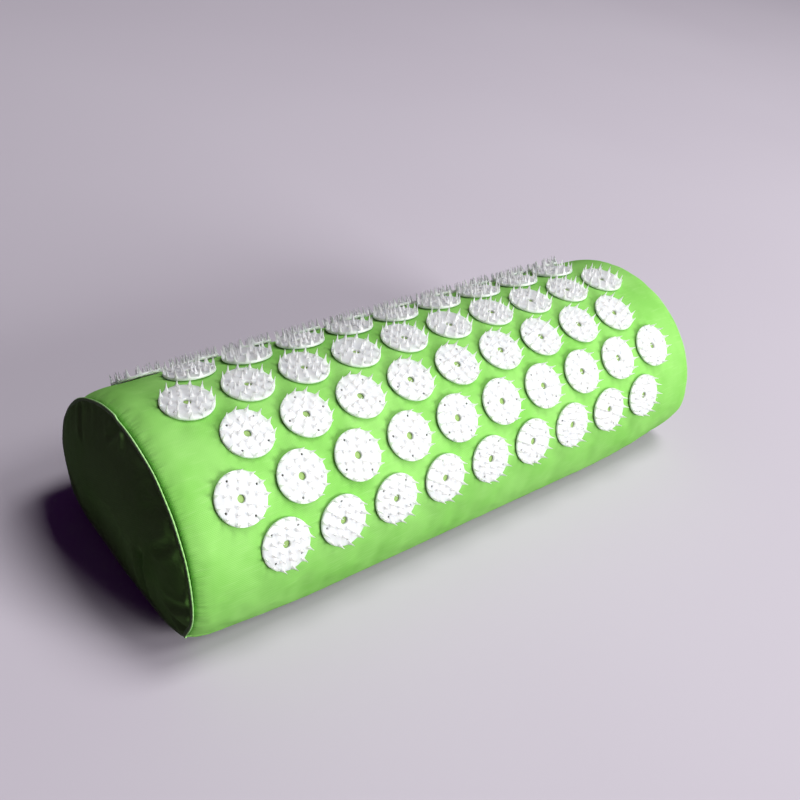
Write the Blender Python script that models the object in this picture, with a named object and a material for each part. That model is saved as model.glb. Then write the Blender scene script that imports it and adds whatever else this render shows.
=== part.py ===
# Half-moon acupressure pillow: a firm foam core in a sewn cotton cover
# that carries a staggered field of spiked plastic discs.
# X runs along the pillow, the front faces -Y, and Z = 0 is the surface it lies on.

from math import ceil, copysign, cos, pi, radians, sin

import bmesh
import bpy
import numpy as np
from mathutils import Matrix
from mathutils.geometry import delaunay_2d_cdt

# Cover and core, in metres
BODY_LENGTH = 0.3700          # between the two end seams
HALF_WIDTH = 0.0732           # from the middle to the widest point of the side
WIDEST_HEIGHT = 0.0300        # height of that widest point
BODY_HEIGHT = 0.0980          # crown of the cloth above the floor
FLAT_HALF_WIDTH = 0.0564      # half the width of the flat underside
ARCH_POWER = 2.0              # superellipse power of the arch
HEEL_POWER = 2.3              # superellipse power of the rounded lower edges
CLOTH_THICKNESS = 0.0010
DRAW_IN = 0.0012              # how far the cover is pulled in at the end seams
DRAW_LENGTH = 0.0140          # length over which it is pulled in
CORNER_DRAW = 0.0068          # how far the end seams pull the lower corners in
CORNER_DRAW_LENGTH = 0.0850
CORNER_SPREAD = 0.0200        # of that pull, along the cloth either side of the corner
CORNER_STATION_SHARES = (0.5, 1)
END_PUFF = 0.0060             # bulge of each end panel
PUFF_RING_SHARES = (1, 0.62)
SEAM_RADIUS = 0.0009          # the sewn ridge round each end
SEAM_PROUD = 0.0005           # how far that ridge stands above the cloth
FIT_GAP = 0.0003              # between pieces sewn or seated on each other
SOFT_GAP = 0.0005             # between the core and its cover

# Facets of the curved cloth
FACET_LENGTH = 0.0150
FACET_TURN = radians(24)
CORNER_FACETS = 2             # extra ones where the lower corners are pulled in
COARSE_FACTOR = 1.6           # end panels, end seams and core have fewer, longer facets
SEAM_SIDES = 4
CURVE_STEPS = 600

# Disc field
DISC_PITCH = 0.0340           # centre to centre along a row
ROW_PITCH = 0.0283            # row to row, along the cloth
END_MARGIN = 0.0300           # least distance from an end seam to a disc's centre
FOOT_MARGIN = 0.0300          # least distance from the lower seam to a disc's centre
SEPARATE_DISCS = 47           # pieces of their own, counted from the front row back
DISC_TURN = radians(137.5)    # each disc lies turned from its neighbour
BOND_SINK = 0.0005            # how deep the fused rear discs bed into the cloth

# One disc
DISC_DIAMETER = 0.0267
PLATE_THICKNESS = 0.0015
HOLE_DIAMETER = 0.0040
HOLE_SIDES = 6
SPIKE_HEIGHT = 0.0046
SPIKE_WIDTH = 0.0024          # side of a spike's three-sided foot
RIM_SPIKES = 13
RIM_LEAN_SHARE = 0.15         # how far a rim spike's tip stands in over its foot
RING_SPIKES = (9, 5)          # middle ring and inner ring
RING_PLACE_SHARES = (0.555, 0.23)   # of the band from the hole to the rim
MERGE_DISTANCE = 0.0000001

# Zip along the lower rear side
ZIP_RISE = 0.0250             # from the lower corner up to the zip, along the cloth
TAPE_WIDTH = 0.0085           # from the middle of the zip to a tape's sewn edge
TAPE_THICKNESS = 0.0007
COIL_WIDTH = 0.0022
COIL_PROUD = 0.0009           # coil outside the tape
COIL_UNDER = 0.0005           # coil inside the tape
COIL_CHAMFER = 0.0004
SLIT_HALF = 0.0006            # half the gap between the two coils
SLIDER_LENGTH = 0.0110
SLIDER_MOUTH_WIDTH = 0.0096
SLIDER_TAIL_WIDTH = 0.0082
SLIDER_PLATE = 0.0010
SLIDER_GAP = 0.0004           # running clearance round the coils
SLIDER_WEB = 0.0005           # post between the coils
SLIDER_WEB_LENGTH = 0.0040
SLIDER_FLANGE = 0.0008
STOP_LENGTH = 0.0030
STOP_WIDTH = 0.0070
CROWN_LENGTH = 0.0076
CROWN_WIDTH = 0.0017
CROWN_WALL = 0.0012
BAR_HEIGHT = 0.0012           # of the pull's crossbar above the slider
PULL_LENGTH = 0.0200
PULL_WIDTH = 0.0066
PULL_THICKNESS = 0.0010
PULL_BAR = 0.0011             # width of the crossbar
PULL_WINDOW_LENGTH = 0.0075
PULL_SIDE_GAP = 0.0004        # between the crown and the pull's arms
PULL_NECK_WIDTH = 0.0046
RELIEF_DEPTH = 0.0024         # shallow channel in the core behind the slider
RELIEF_HALF_WIDTH = 0.0062
RELIEF_SLOPE = 0.0040
CUT_OVERRUN = 0.0010

END_X = BODY_LENGTH / 2
SEAM_X = END_X + FIT_GAP + SEAM_RADIUS
SEAM_INSET = SEAM_RADIUS - SEAM_PROUD
PANEL_INSET = SEAM_INSET + SEAM_RADIUS + FIT_GAP

COTTON_GREEN = (0.38, 0.74, 0.20)
THREAD_GREEN = (0.50, 0.82, 0.30)
FOAM_WHITE = (0.86, 0.84, 0.74)
DISC_WHITE = (0.93, 0.94, 0.94)
ZIP_GREEN = (0.30, 0.62, 0.18)
ZIP_METAL = (0.62, 0.62, 0.60)


def clear_scene():
    for old in list(bpy.data.objects):
        bpy.data.objects.remove(old, do_unlink=True)


def make_material(name, colour, roughness, metallic=0):
    material = bpy.data.materials.new(name)
    material.use_nodes = True
    shader = material.node_tree.nodes["Principled BSDF"]
    shader.inputs["Base Color"].default_value = (*colour, 1)
    shader.inputs["Roughness"].default_value = roughness
    shader.inputs["Metallic"].default_value = metallic
    return material


def make_mesh(name, points, faces):
    mesh = bpy.data.meshes.new(name)
    mesh.from_pydata(points, [], faces)
    work = bmesh.new()
    work.from_mesh(mesh)
    bmesh.ops.recalc_face_normals(work, faces=work.faces)
    work.to_mesh(mesh)
    work.free()
    mesh.shade_smooth()
    mesh.set_sharp_from_angle(angle=radians(35))
    return mesh


def add_object(name, mesh, material, placement=None):
    body = bpy.data.objects.new(name, mesh)
    bpy.context.scene.collection.objects.link(body)
    if not mesh.materials:
        mesh.materials.append(material)
    if placement is not None:
        body.matrix_world = placement
    return body


def add_guide(name, mesh):
    guide = bpy.data.objects.new(name, mesh)
    bpy.context.scene.collection.objects.link(guide)
    guide.hide_render = True
    guide.display_type = "WIRE"
    return guide


def add_boolean(body, guide, operation):
    modifier = body.modifiers.new(operation.title() + " " + guide.name, "BOOLEAN")
    modifier.operation = operation
    modifier.solver = "EXACT"
    modifier.object = guide


# The D-shaped section, measured along the cloth from the crown

def quarter_side():
    """Points of one side from the crown down to the flat underside."""
    points = []
    for angle in np.linspace(pi / 2, 0, CURVE_STEPS):
        out = HALF_WIDTH * max(cos(angle), 0) ** (2 / ARCH_POWER)
        rise = (BODY_HEIGHT - WIDEST_HEIGHT) * sin(angle) ** (2 / ARCH_POWER)
        points.append((out, WIDEST_HEIGHT + rise))
    heel_reach = HALF_WIDTH - FLAT_HALF_WIDTH
    for angle in np.linspace(0, pi / 2, CURVE_STEPS)[1:]:
        out = FLAT_HALF_WIDTH + heel_reach * max(cos(angle), 0) ** (2 / HEEL_POWER)
        points.append((out, WIDEST_HEIGHT * (1 - sin(angle) ** (2 / HEEL_POWER))))
    return np.array(points)


class Wall:
    """The cover's outer line, by distance along it from the crown (+ to the rear).

    The heel is the place of the lower corner, on the diagonal of its rounding.
    """

    def __init__(self):
        side = quarter_side()
        points = np.vstack([side[:0:-1] * (-1, 1), side])
        steps = np.diff(points, axis=0)
        lengths = np.hypot(steps[:, 0], steps[:, 1])
        along = np.concatenate([[0], np.cumsum(lengths)])
        self.half = along[-1] / 2
        self.along = along - self.half
        self.points = points
        middles = (self.along[1:] + self.along[:-1]) / 2
        heading = np.unwrap(np.arctan2(steps[:, 1], steps[:, 0]))
        self.heading = np.interp(self.along, middles, heading)
        turned = np.abs(self.heading - self.heading[0])
        self.heel = self.at_height(WIDEST_HEIGHT * (1 - sin(pi / 4) ** (2 / HEEL_POWER)))
        corner = (np.abs(self.along) - self.heel) / CORNER_SPREAD
        corner = np.sign(self.along) * np.clip(corner + 1, 0, 2) / 2
        self.measure = self.along / FACET_LENGTH + turned / FACET_TURN + corner * CORNER_FACETS

    def direction(self, place):
        """Unit vector along the cloth towards the rear, in Y and Z."""
        angle = np.interp(place, self.along, self.heading)
        return np.array([cos(angle), sin(angle)])

    def normal(self, place):
        """Unit vector out of the cloth, in Y and Z."""
        forward = self.direction(place)
        return np.array([-forward[1], forward[0]])

    def point(self, place, inset):
        """Y and Z of the point at this place, set in from the outer line."""
        y = np.interp(place, self.along, self.points[:, 0])
        z = np.interp(place, self.along, self.points[:, 1])
        inward = self.normal(place) * inset
        return y - inward[0], z - inward[1]

    def places(self, start, stop, factor=1):
        """Places from start to stop, closer together where the cloth turns."""
        first, last = np.interp([start, stop], self.along, self.measure)
        count = ceil((last - first) / factor)
        return np.interp(np.linspace(first, last, count + 1), self.measure, self.along)

    def at_height(self, height):
        """Place on the rear side, below the widest point, at this height."""
        rear = self.along > 0
        order = np.argsort(self.points[rear, 1])
        return np.interp(height, self.points[rear, 1][order], self.along[rear][order])


WALL = Wall()

HEEL = WALL.heel              # the diagonal of the rounded lower corner
SLOT_HALF = SEAM_RADIUS + FIT_GAP
ZIP_PLACE = HEEL - ZIP_RISE
ZIP_TOP = ZIP_PLACE - TAPE_WIDTH - FIT_GAP
ZIP_FOOT = ZIP_PLACE + TAPE_WIDTH + FIT_GAP


def pull_share(x, length):
    """Share of an end seam's pull that is felt at this station."""
    away = max(0, END_X - abs(x))
    return max(0, 1 - away / length) ** 2


def corner_share(place):
    """Share of the pull on a lower corner that is felt at this place."""
    away = min(1, abs(abs(place) - HEEL) / CORNER_SPREAD)
    return cos(pi / 2 * away) ** 2


def skin_point(x, place, inset=0):
    """Y and Z of a point of the pulled-in cover, set in from its outer line."""
    y, z = WALL.point(place, inset + DRAW_IN * pull_share(x, DRAW_LENGTH))
    pull = CORNER_DRAW * pull_share(x, CORNER_DRAW_LENGTH) * corner_share(place)
    inward = pull * sin(pi / 4)
    return y - copysign(inward, place), z + inward


def stations():
    """Stations along X, closer together where the cover is pulled in."""
    steps = [0, DRAW_LENGTH] + [share * CORNER_DRAW_LENGTH for share in CORNER_STATION_SHARES]
    steps = sorted(steps)
    return [step - END_X for step in steps] + [END_X - step for step in steps[::-1]]


# Skins and solids made of rings of points

def bridge(rings, closed=False):
    """Quads between neighbouring rings, each ring being a closed loop."""
    size = len(rings[0])
    faces = []
    count = len(rings) if closed else len(rings) - 1
    for row in range(count):
        near = row * size
        far = ((row + 1) % len(rings)) * size
        for step in range(size):
            after = (step + 1) % size
            faces.append((near + step, near + after, far + after, far + step))
    return faces


def strip_cap(start, size):
    """Quads across the end of a thin ring whose second half runs back."""
    last = start + size - 1
    return [(start + i, start + i + 1, last - i - 1, last - i) for i in range(size // 2 - 1)]


def strip_solid(name, rings):
    """Solid skinned over thin rings, with quads across both ends."""
    size = len(rings[0])
    points = [point for ring in rings for point in ring]
    faces = bridge(rings) + strip_cap(0, size) + strip_cap(size * (len(rings) - 1), size)
    return make_mesh(name, points, faces)


def cloth_ring(x, places):
    """Thin ring that follows the cloth through these places at station x."""
    outside = [(x, *skin_point(x, place)) for place in places]
    inside = [(x, *skin_point(x, place, CLOTH_THICKNESS)) for place in places]
    return outside + inside[::-1]


# One spiked disc: a plate with a hole, a rim crown and two rings of spikes

def polar(radius, angle):
    return (radius * cos(angle), radius * sin(angle))


def spike_feet(rings):
    """Three-cornered feet and tips of all spikes, rim spikes first."""
    radius = DISC_DIAMETER / 2
    band = radius - HOLE_DIAMETER / 2
    half_angle = SPIKE_WIDTH / DISC_DIAMETER
    depth = SPIKE_WIDTH * cos(pi / 6)
    feet = []
    for number in range(RIM_SPIKES):
        angle = 2 * pi * number / RIM_SPIKES
        foot = [polar(radius, angle - half_angle), polar(radius, angle + half_angle),
                polar(radius - depth, angle)]
        feet.append((foot, polar(radius - depth * RIM_LEAN_SHARE, angle)))
    for count, share in rings:
        ring_radius = HOLE_DIAMETER / 2 + band * share
        for number in range(count):
            angle = 2 * pi * number / count
            centre = np.array(polar(ring_radius, angle))
            corners = [centre + polar(SPIKE_WIDTH / 2 / cos(pi / 6), angle + turn)
                       for turn in (pi, -pi / 3, pi / 3)]
            feet.append(([tuple(corner) for corner in corners], tuple(centre)))
    return feet


def flat_faces(points, loops):
    """Triangles between closed loops in a plane, with the loops they fill."""
    edges = [(loop[i - 1], loop[i]) for loop in loops for i in range(len(loop))]
    made = delaunay_2d_cdt([*map(tuple, points)], edges, loops, 1, MERGE_DISTANCE)
    places = [origins[0] for origins in made[3]]
    return [(tuple(places[i] for i in face), set(made[5][n])) for n, face in enumerate(made[2])]


def disc_mesh(name, rings):
    """A disc's closed mesh, lying on Z = 0 with its spikes up."""
    radius = DISC_DIAMETER / 2
    feet = spike_feet(rings)
    hole = [polar(HOLE_DIAMETER / 2, 2 * pi * i / HOLE_SIDES) for i in range(HOLE_SIDES)]
    flat = [corner for foot, _ in feet for corner in foot]
    hole_start = len(flat)
    flat += hole
    rim = [3 * (i // 2) + i % 2 for i in range(2 * RIM_SPIKES)]
    hole_loop = list(range(hole_start, hole_start + HOLE_SIDES))
    foot_loops = [[3 * i, 3 * i + 1, 3 * i + 2] for i in range(len(feet))]
    points = [(*place, PLATE_THICKNESS) for place in flat]
    faces = [face for face, fills in flat_faces(flat, [rim, hole_loop] + foot_loops)
             if fills == {0}]
    for foot_loop, (_, tip) in zip(foot_loops, feet):
        points.append((*tip, PLATE_THICKNESS + SPIKE_HEIGHT))
        top = len(points) - 1
        faces += [(foot_loop[i - 1], foot_loop[i], top) for i in range(3)]
    low_rim = [polar(radius, 2 * pi * i / RIM_SPIKES) for i in range(RIM_SPIKES)]
    low = low_rim + hole
    low_start = len(points)
    points += [(*place, 0) for place in low]
    low_loops = [list(range(RIM_SPIKES)), list(range(RIM_SPIKES, len(low)))]
    for face, fills in flat_faces(low, low_loops):
        if fills == {0}:
            faces.append(tuple(low_start + i for i in face))
    for number in range(RIM_SPIKES):
        after = (number + 1) % RIM_SPIKES
        here = low_start + number
        faces.append((rim[2 * number], here, rim[2 * number + 1]))
        faces.append((rim[2 * number + 1], here, low_start + after, rim[2 * after]))
    low_hole = low_start + RIM_SPIKES
    for number in range(HOLE_SIDES):
        after = (number + 1) % HOLE_SIDES
        faces.append((hole_loop[number], hole_loop[after], low_hole + after, low_hole + number))
    return make_mesh(name, points, faces)


def disc_places():
    """Row number, number in the row, X and place of every disc, front row first."""
    side_rows = int((HEEL - FOOT_MARGIN) / ROW_PITCH)
    wide_count = int((BODY_LENGTH - 2 * END_MARGIN) / DISC_PITCH) + 1
    found = []
    for row in range(-side_rows, side_rows + 1):
        count = wide_count - row % 2
        for number in range(count):
            x = (number - (count - 1) / 2) * DISC_PITCH
            found.append((row + side_rows + 1, number + 1, x, row * ROW_PITCH))
    return found


def seat_matrix(x, place, lift, turn):
    """Placement of a disc on the cloth, turned about its own axis."""
    y, z = WALL.point(place, -lift)
    forward = WALL.direction(place)
    outward = WALL.normal(place)
    seat = Matrix(((1, 0, 0, x),
                   (0, forward[0], outward[0], y),
                   (0, forward[1], outward[1], z),
                   (0, 0, 0, 1)))
    return seat @ Matrix.Rotation(turn, 4, "Z")


def build_discs(material):
    """The front rows' discs, each a piece of its own; returns the rear seats."""
    rings = list(zip(RING_SPIKES, RING_PLACE_SHARES))
    mesh = disc_mesh("spike_disc", rings)
    rear_seats = []
    for order, (row, number, x, place) in enumerate(disc_places()):
        turn = order * DISC_TURN
        if order < SEPARATE_DISCS:
            seat = seat_matrix(x, place, FIT_GAP, turn)
            add_object(f"disc_row{row}_{number:02d}", mesh, material, seat)
        else:
            rear_seats.append(seat_matrix(x, place, -BOND_SINK, turn))
    return rear_seats


def joined_discs(name, mesh, seats):
    """All rear discs in one guide mesh."""
    work = bmesh.new()
    for seat in seats:
        copy = mesh.copy()
        copy.transform(seat)
        work.from_mesh(copy)
    joined = bpy.data.meshes.new(name)
    work.to_mesh(joined)
    work.free()
    return joined


# Sewn cover

def build_wrap_panel(material, rear_seats):
    """The arched panel, from the front seam over the crown to the zip."""
    places = WALL.places(-(HEEL - SLOT_HALF), ZIP_TOP)
    rings = [cloth_ring(x, places) for x in stations()]
    wrap = add_object("wrap_panel", strip_solid("wrap_panel", rings), material)
    rear_mesh = disc_mesh("rear_spike_disc", [])
    guide = add_guide("rear_disc_guide", joined_discs("rear_disc_guide", rear_mesh, rear_seats))
    add_boolean(wrap, guide, "UNION")


def build_base_panel(material):
    """The underside, from the front seam across the flat and up to the zip."""
    rear = WALL.places(ZIP_FOOT, WALL.half)
    front = WALL.places(-WALL.half, -(HEEL + SLOT_HALF))
    places = [*rear, *front]
    rings = [cloth_ring(x, places) for x in stations()]
    add_object("base_panel", strip_solid("base_panel", rings), material)


def loop_places():
    """Places right round the section, for closed loops."""
    return list(WALL.places(-WALL.half, WALL.half, COARSE_FACTOR))


def build_end_seam(name, side, material):
    """The raised sewn ridge round one end."""
    rings = []
    for place in loop_places():
        ring = []
        for number in range(SEAM_SIDES):
            angle = 2 * pi * number / SEAM_SIDES
            inset = SEAM_INSET - SEAM_RADIUS * cos(angle)
            x = SEAM_X + SEAM_RADIUS * sin(angle)
            ring.append((side * x, *skin_point(SEAM_X, place, inset)))
        rings.append(ring)
    points = [point for ring in rings for point in ring]
    add_object(name, make_mesh(name, points, bridge(rings, closed=True)), material)


def dome_rings(side, edge_x, inset):
    """Loops of a domed end, from its edge in, and the point at its middle."""
    middle = BODY_HEIGHT / 2
    edge = [skin_point(SEAM_X, place, inset) for place in loop_places()]
    rings = []
    for share in PUFF_RING_SHARES:
        x = side * (edge_x + END_PUFF * (1 - share * share))
        rings.append([(x, y * share, middle + (z - middle) * share) for y, z in edge])
    return rings, (side * (edge_x + END_PUFF), 0, middle)


def fan(start, size, top):
    return [(start + i, start + (i + 1) % size, top) for i in range(size)]


def build_end_panel(name, side, material):
    """A puffed D-shaped end panel, one cloth thick."""
    outer, outer_top = dome_rings(side, SEAM_X + CLOTH_THICKNESS / 2, PANEL_INSET)
    inner, inner_top = dome_rings(side, SEAM_X - CLOTH_THICKNESS / 2, PANEL_INSET)
    size = len(outer[0])
    rings = outer[::-1] + inner
    points = [point for ring in rings for point in ring] + [outer_top, inner_top]
    last = len(rings) * size
    faces = bridge(rings) + fan(0, size, last) + fan(last - size, size, last + 1)
    add_object(name, make_mesh(name, points, faces), material)


def build_front_seam(material):
    """The sewn ridge along the lower front edge."""
    rings = []
    for x in stations():
        ring = []
        for number in range(SEAM_SIDES):
            angle = 2 * pi * number / SEAM_SIDES
            place = SEAM_RADIUS * sin(angle) - HEEL
            ring.append((x, *skin_point(x, place, SEAM_INSET - SEAM_RADIUS * cos(angle))))
        rings.append(ring)
    points = [point for ring in rings for point in ring]
    caps = [tuple(range(SEAM_SIDES)), tuple(range(len(points) - SEAM_SIDES, len(points)))]
    add_object("front_seam", make_mesh("front_seam", points, bridge(rings) + caps), material)


# Foam core

def relief_at(place):
    """Depth of the channel that clears the zip slider."""
    away = abs(place - ZIP_PLACE) - RELIEF_HALF_WIDTH
    share = min(1, max(0, 1 - away / RELIEF_SLOPE))
    return RELIEF_DEPTH * share


def core_places():
    """Places round the core, with the edges of the zip channel among them."""
    edges = [RELIEF_HALF_WIDTH, RELIEF_HALF_WIDTH + RELIEF_SLOPE]
    marks = [ZIP_PLACE + way * edge for way in (-1, 1) for edge in edges]
    first, last = min(marks), max(marks)
    kept = [p for p in loop_places() if p < first - FACET_LENGTH / 2 or p > last + FIT_GAP]
    return sorted(kept + marks)


def build_core(material):
    """The half-moon foam block, cut flat at its ends."""
    skin = CLOTH_THICKNESS + SOFT_GAP
    edge_x = SEAM_X - CLOTH_THICKNESS / 2 - SOFT_GAP
    edge_inset = PANEL_INSET + SOFT_GAP
    marks = [(x, skin) for x in stations()]
    marks = [(-edge_x, edge_inset)] + marks + [(edge_x, edge_inset)]
    rings = [[(x, *skin_point(x, p, inset + relief_at(p))) for p in core_places()]
             for x, inset in marks]
    size = len(rings[0])
    points = [point for ring in rings for point in ring]
    caps = [tuple(range(size)), tuple(range(len(points) - size, len(points)))]
    add_object("foam_core", make_mesh("foam_core", points, bridge(rings) + caps), material)


# Zip

def tape_profile(side):
    """A tape with its half of the coil: distance from the middle, and inset."""
    coil_edge = SLIT_HALF + COIL_WIDTH
    outer = [(SLIT_HALF, -COIL_PROUD + COIL_CHAMFER),
             (SLIT_HALF + COIL_CHAMFER, -COIL_PROUD),
             (coil_edge - COIL_CHAMFER, -COIL_PROUD),
             (coil_edge, 0),
             ((coil_edge + TAPE_WIDTH) / 2, 0),
             (TAPE_WIDTH, 0)]
    under = TAPE_THICKNESS + COIL_UNDER
    inner = [(SLIT_HALF, under - COIL_CHAMFER / 2),
             (SLIT_HALF + COIL_CHAMFER, under),
             (coil_edge - COIL_CHAMFER, under),
             (coil_edge, TAPE_THICKNESS),
             ((coil_edge + TAPE_WIDTH) / 2, TAPE_THICKNESS),
             (TAPE_WIDTH, TAPE_THICKNESS)]
    return [(side * away, inset) for away, inset in outer + inner[::-1]]


def build_tape(name, side, material):
    """One zip tape and its coil, along the whole lower rear side."""
    rings = []
    for x in stations():
        rings.append([(x, *skin_point(x, ZIP_PLACE + away, inset))
                      for away, inset in tape_profile(side)])
    add_object(name, strip_solid(name, rings), material)


def zip_matrix(x, lift=0):
    """Local axes of the zip at station x: X, down the cloth, and outward."""
    return seat_matrix(x, ZIP_PLACE, lift, 0)


def prism(outline, low, high):
    """Points and faces of a flat outline raised from low to high."""
    size = len(outline)
    points = [(*place, low) for place in outline] + [(*place, high) for place in outline]
    faces = [tuple(range(size)), tuple(range(size, 2 * size))]
    faces += [(i, (i + 1) % size, size + (i + 1) % size, size + i) for i in range(size)]
    return points, faces


def prism_mesh(name, outline, low, high):
    return make_mesh(name, *prism(outline, low, high))


def box_outline(x_low, x_high, half_width):
    return [(x_low, -half_width), (x_high, -half_width), (x_high, half_width), (x_low, half_width)]


def union_of(body, pieces, placement):
    """Join helper solids to a body, all placed in the zip's local axes."""
    for name, mesh, operation in pieces:
        guide = add_guide(name, mesh)
        guide.matrix_world = placement
        add_boolean(body, guide, operation)


def clip_levels():
    """Outward levels of a piece that embraces the coils."""
    outer_low = COIL_PROUD + SLIDER_GAP
    inner_high = -(TAPE_THICKNESS + COIL_UNDER + SLIDER_GAP)
    return outer_low, outer_low + SLIDER_PLATE, inner_high, inner_high - SLIDER_PLATE


def slider_outline():
    """The slider's plate: a wide rounded mouth and a narrower tail."""
    half = SLIDER_LENGTH / 2
    mouth = SLIDER_MOUTH_WIDTH / 2
    tail = SLIDER_TAIL_WIDTH / 2
    side = [(half, mouth / 2), (half * 2 / 3, mouth), (0, mouth), (-half, tail)]
    return side + [(x, -y) for x, y in side[::-1]]


def slider_rest_x():
    """Closed end of the travel, clear of the drawn-in stretch."""
    return END_X - DRAW_LENGTH - SLIDER_LENGTH / 2


def build_slider(material):
    """Slider body: two plates, the post between the coils, flanges and crown."""
    outer_low, outer_high, inner_high, inner_low = clip_levels()
    placement = zip_matrix(slider_rest_x())
    body = add_object("zip_slider", prism_mesh("zip_slider", slider_outline(), outer_low, outer_high),
                      material, placement)
    web_x = SLIDER_LENGTH / 2 - CUT_OVERRUN
    web = box_outline(web_x - SLIDER_WEB_LENGTH, web_x, SLIDER_WEB / 2)
    flange_top = outer_low + SLIDER_PLATE / 2
    flange_half = SLIDER_LENGTH / 2 - SLIDER_WEB_LENGTH / 2
    inner_edge = SLIT_HALF + COIL_WIDTH + SLIDER_GAP
    pieces = [("slider_inner_guide",
               prism_mesh("slider_inner_guide", slider_outline(), inner_low, inner_high), "UNION"),
              ("slider_web_guide",
               prism_mesh("slider_web_guide", web, inner_low + SLIDER_PLATE / 2, flange_top), "UNION")]
    for name, side in (("slider_flange_guide_a", -1), ("slider_flange_guide_b", 1)):
        outline = [(x, side * y) for x, y in (
            (-flange_half, inner_edge), (flange_half, inner_edge),
            (flange_half, inner_edge + SLIDER_FLANGE), (-flange_half, inner_edge + SLIDER_FLANGE))]
        pieces.append((name, prism_mesh(name, outline, SLIDER_GAP, flange_top), "UNION"))
    window_high = outer_high + BAR_HEIGHT + PULL_BAR / 2 + SLIDER_GAP
    crown = box_outline(-CROWN_LENGTH / 2, CROWN_LENGTH / 2, CROWN_WIDTH / 2)
    window = box_outline(CROWN_WALL - CROWN_LENGTH / 2, CROWN_LENGTH / 2 - CROWN_WALL,
                         CROWN_WIDTH / 2 + CUT_OVERRUN)
    pieces.append(("slider_crown_guide",
                   prism_mesh("slider_crown_guide", crown, outer_high - SLIDER_PLATE / 2,
                              window_high + CROWN_WALL), "UNION"))
    pieces.append(("slider_window_guide",
                   prism_mesh("slider_window_guide", window, outer_high, window_high), "DIFFERENCE"))
    union_of(body, pieces, placement)


def build_stop(material):
    """End stop clamped over both coils at the far end of the travel."""
    outer_low, outer_high, inner_high, inner_low = clip_levels()
    placement = zip_matrix(-(END_X - DRAW_LENGTH - STOP_LENGTH / 2))
    plate = box_outline(-STOP_LENGTH / 2, STOP_LENGTH / 2, STOP_WIDTH / 2)
    web = box_outline(-STOP_LENGTH / 3, STOP_LENGTH / 3, SLIDER_WEB / 2)
    middle = SLIDER_PLATE / 2
    body = add_object("zip_end_stop", prism_mesh("zip_end_stop", plate, outer_low, outer_high),
                      material, placement)
    pieces = [("stop_inner_guide", prism_mesh("stop_inner_guide", plate, inner_low, inner_high), "UNION"),
              ("stop_web_guide",
               prism_mesh("stop_web_guide", web, inner_low + middle, outer_low + middle), "UNION")]
    union_of(body, pieces, placement)


def build_pull(material):
    """Pull tab whose crossbar lies in the slider's crown; its origin is the hinge."""
    outer_high = clip_levels()[1]
    placement = zip_matrix(slider_rest_x(), outer_high + BAR_HEIGHT)
    half = PULL_WIDTH / 2
    neck = PULL_NECK_WIDTH / 2
    start = -PULL_BAR / 2
    side = [(start, half), (PULL_WINDOW_LENGTH + PULL_BAR, half), (PULL_LENGTH / 2 + PULL_BAR, neck),
            (PULL_LENGTH - half, half), (PULL_LENGTH, neck / 2)]
    outline = side + [(x, -y) for x, y in side[::-1]]
    body = add_object("zip_pull", prism_mesh("zip_pull", outline, -PULL_THICKNESS / 2, PULL_THICKNESS / 2),
                      material, placement)
    window = box_outline(PULL_BAR / 2, PULL_WINDOW_LENGTH, CROWN_WIDTH / 2 + PULL_SIDE_GAP)
    cut = prism_mesh("pull_window_guide", window, -PULL_THICKNESS, PULL_THICKNESS)
    union_of(body, [("pull_window_guide", cut, "DIFFERENCE")], placement)


def main():
    clear_scene()
    cotton = make_material("cotton canvas", COTTON_GREEN, 0.85)
    thread = make_material("sewn seam", THREAD_GREEN, 0.8)
    foam = make_material("polyurethane foam", FOAM_WHITE, 0.95)
    plastic = make_material("white moulded plastic", DISC_WHITE, 0.35)
    tape = make_material("zip tape", ZIP_GREEN, 0.8)
    metal = make_material("zinc slider", ZIP_METAL, 0.35, 1)
    rear_seats = build_discs(plastic)
    build_wrap_panel(cotton, rear_seats)
    build_base_panel(cotton)
    build_end_panel("end_panel_left", -1, cotton)
    build_end_panel("end_panel_right", 1, cotton)
    build_end_seam("end_seam_left", -1, thread)
    build_end_seam("end_seam_right", 1, thread)
    build_front_seam(thread)
    build_core(foam)
    build_tape("zip_tape_upper", -1, tape)
    build_tape("zip_tape_lower", 1, tape)
    build_slider(metal)
    build_stop(metal)
    build_pull(metal)
    bpy.context.view_layer.update()


main()
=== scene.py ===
# The looks of a half-moon acupressure pillow: a green cotton cover sewn round a foam core,
# white spiked discs over the arch, rolled end seams, and a zip on the lower rear side.
# All lengths are metres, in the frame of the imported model.
from math import atan2, ceil, cos, hypot, pi, radians, sin

import bmesh
import bpy
import numpy as np
from mathutils import Matrix, Vector, noise


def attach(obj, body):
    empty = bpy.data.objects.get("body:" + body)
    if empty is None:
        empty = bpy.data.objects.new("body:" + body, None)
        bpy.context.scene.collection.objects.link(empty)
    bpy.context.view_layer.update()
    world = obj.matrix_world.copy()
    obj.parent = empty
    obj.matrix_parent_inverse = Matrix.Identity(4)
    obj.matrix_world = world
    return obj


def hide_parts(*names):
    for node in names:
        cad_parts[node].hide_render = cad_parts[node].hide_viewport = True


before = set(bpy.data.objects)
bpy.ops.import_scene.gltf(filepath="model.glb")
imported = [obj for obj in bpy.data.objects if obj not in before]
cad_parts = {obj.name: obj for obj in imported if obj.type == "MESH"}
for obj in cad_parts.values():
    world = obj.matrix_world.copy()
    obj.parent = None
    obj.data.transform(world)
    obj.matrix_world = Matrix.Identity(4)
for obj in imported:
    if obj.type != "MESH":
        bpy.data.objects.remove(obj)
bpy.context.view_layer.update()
print("frame loaded:", len(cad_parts), "nodes")


# Small helpers

def toLinear(hexColour):
    parts = [int(hexColour[i:i + 2], 16) / 255 for i in (1, 3, 5)]
    return (*[c / 12.92 if c <= 0.04045 else ((c + 0.055) / 1.055) ** 2.4 for c in parts], 1)


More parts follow.
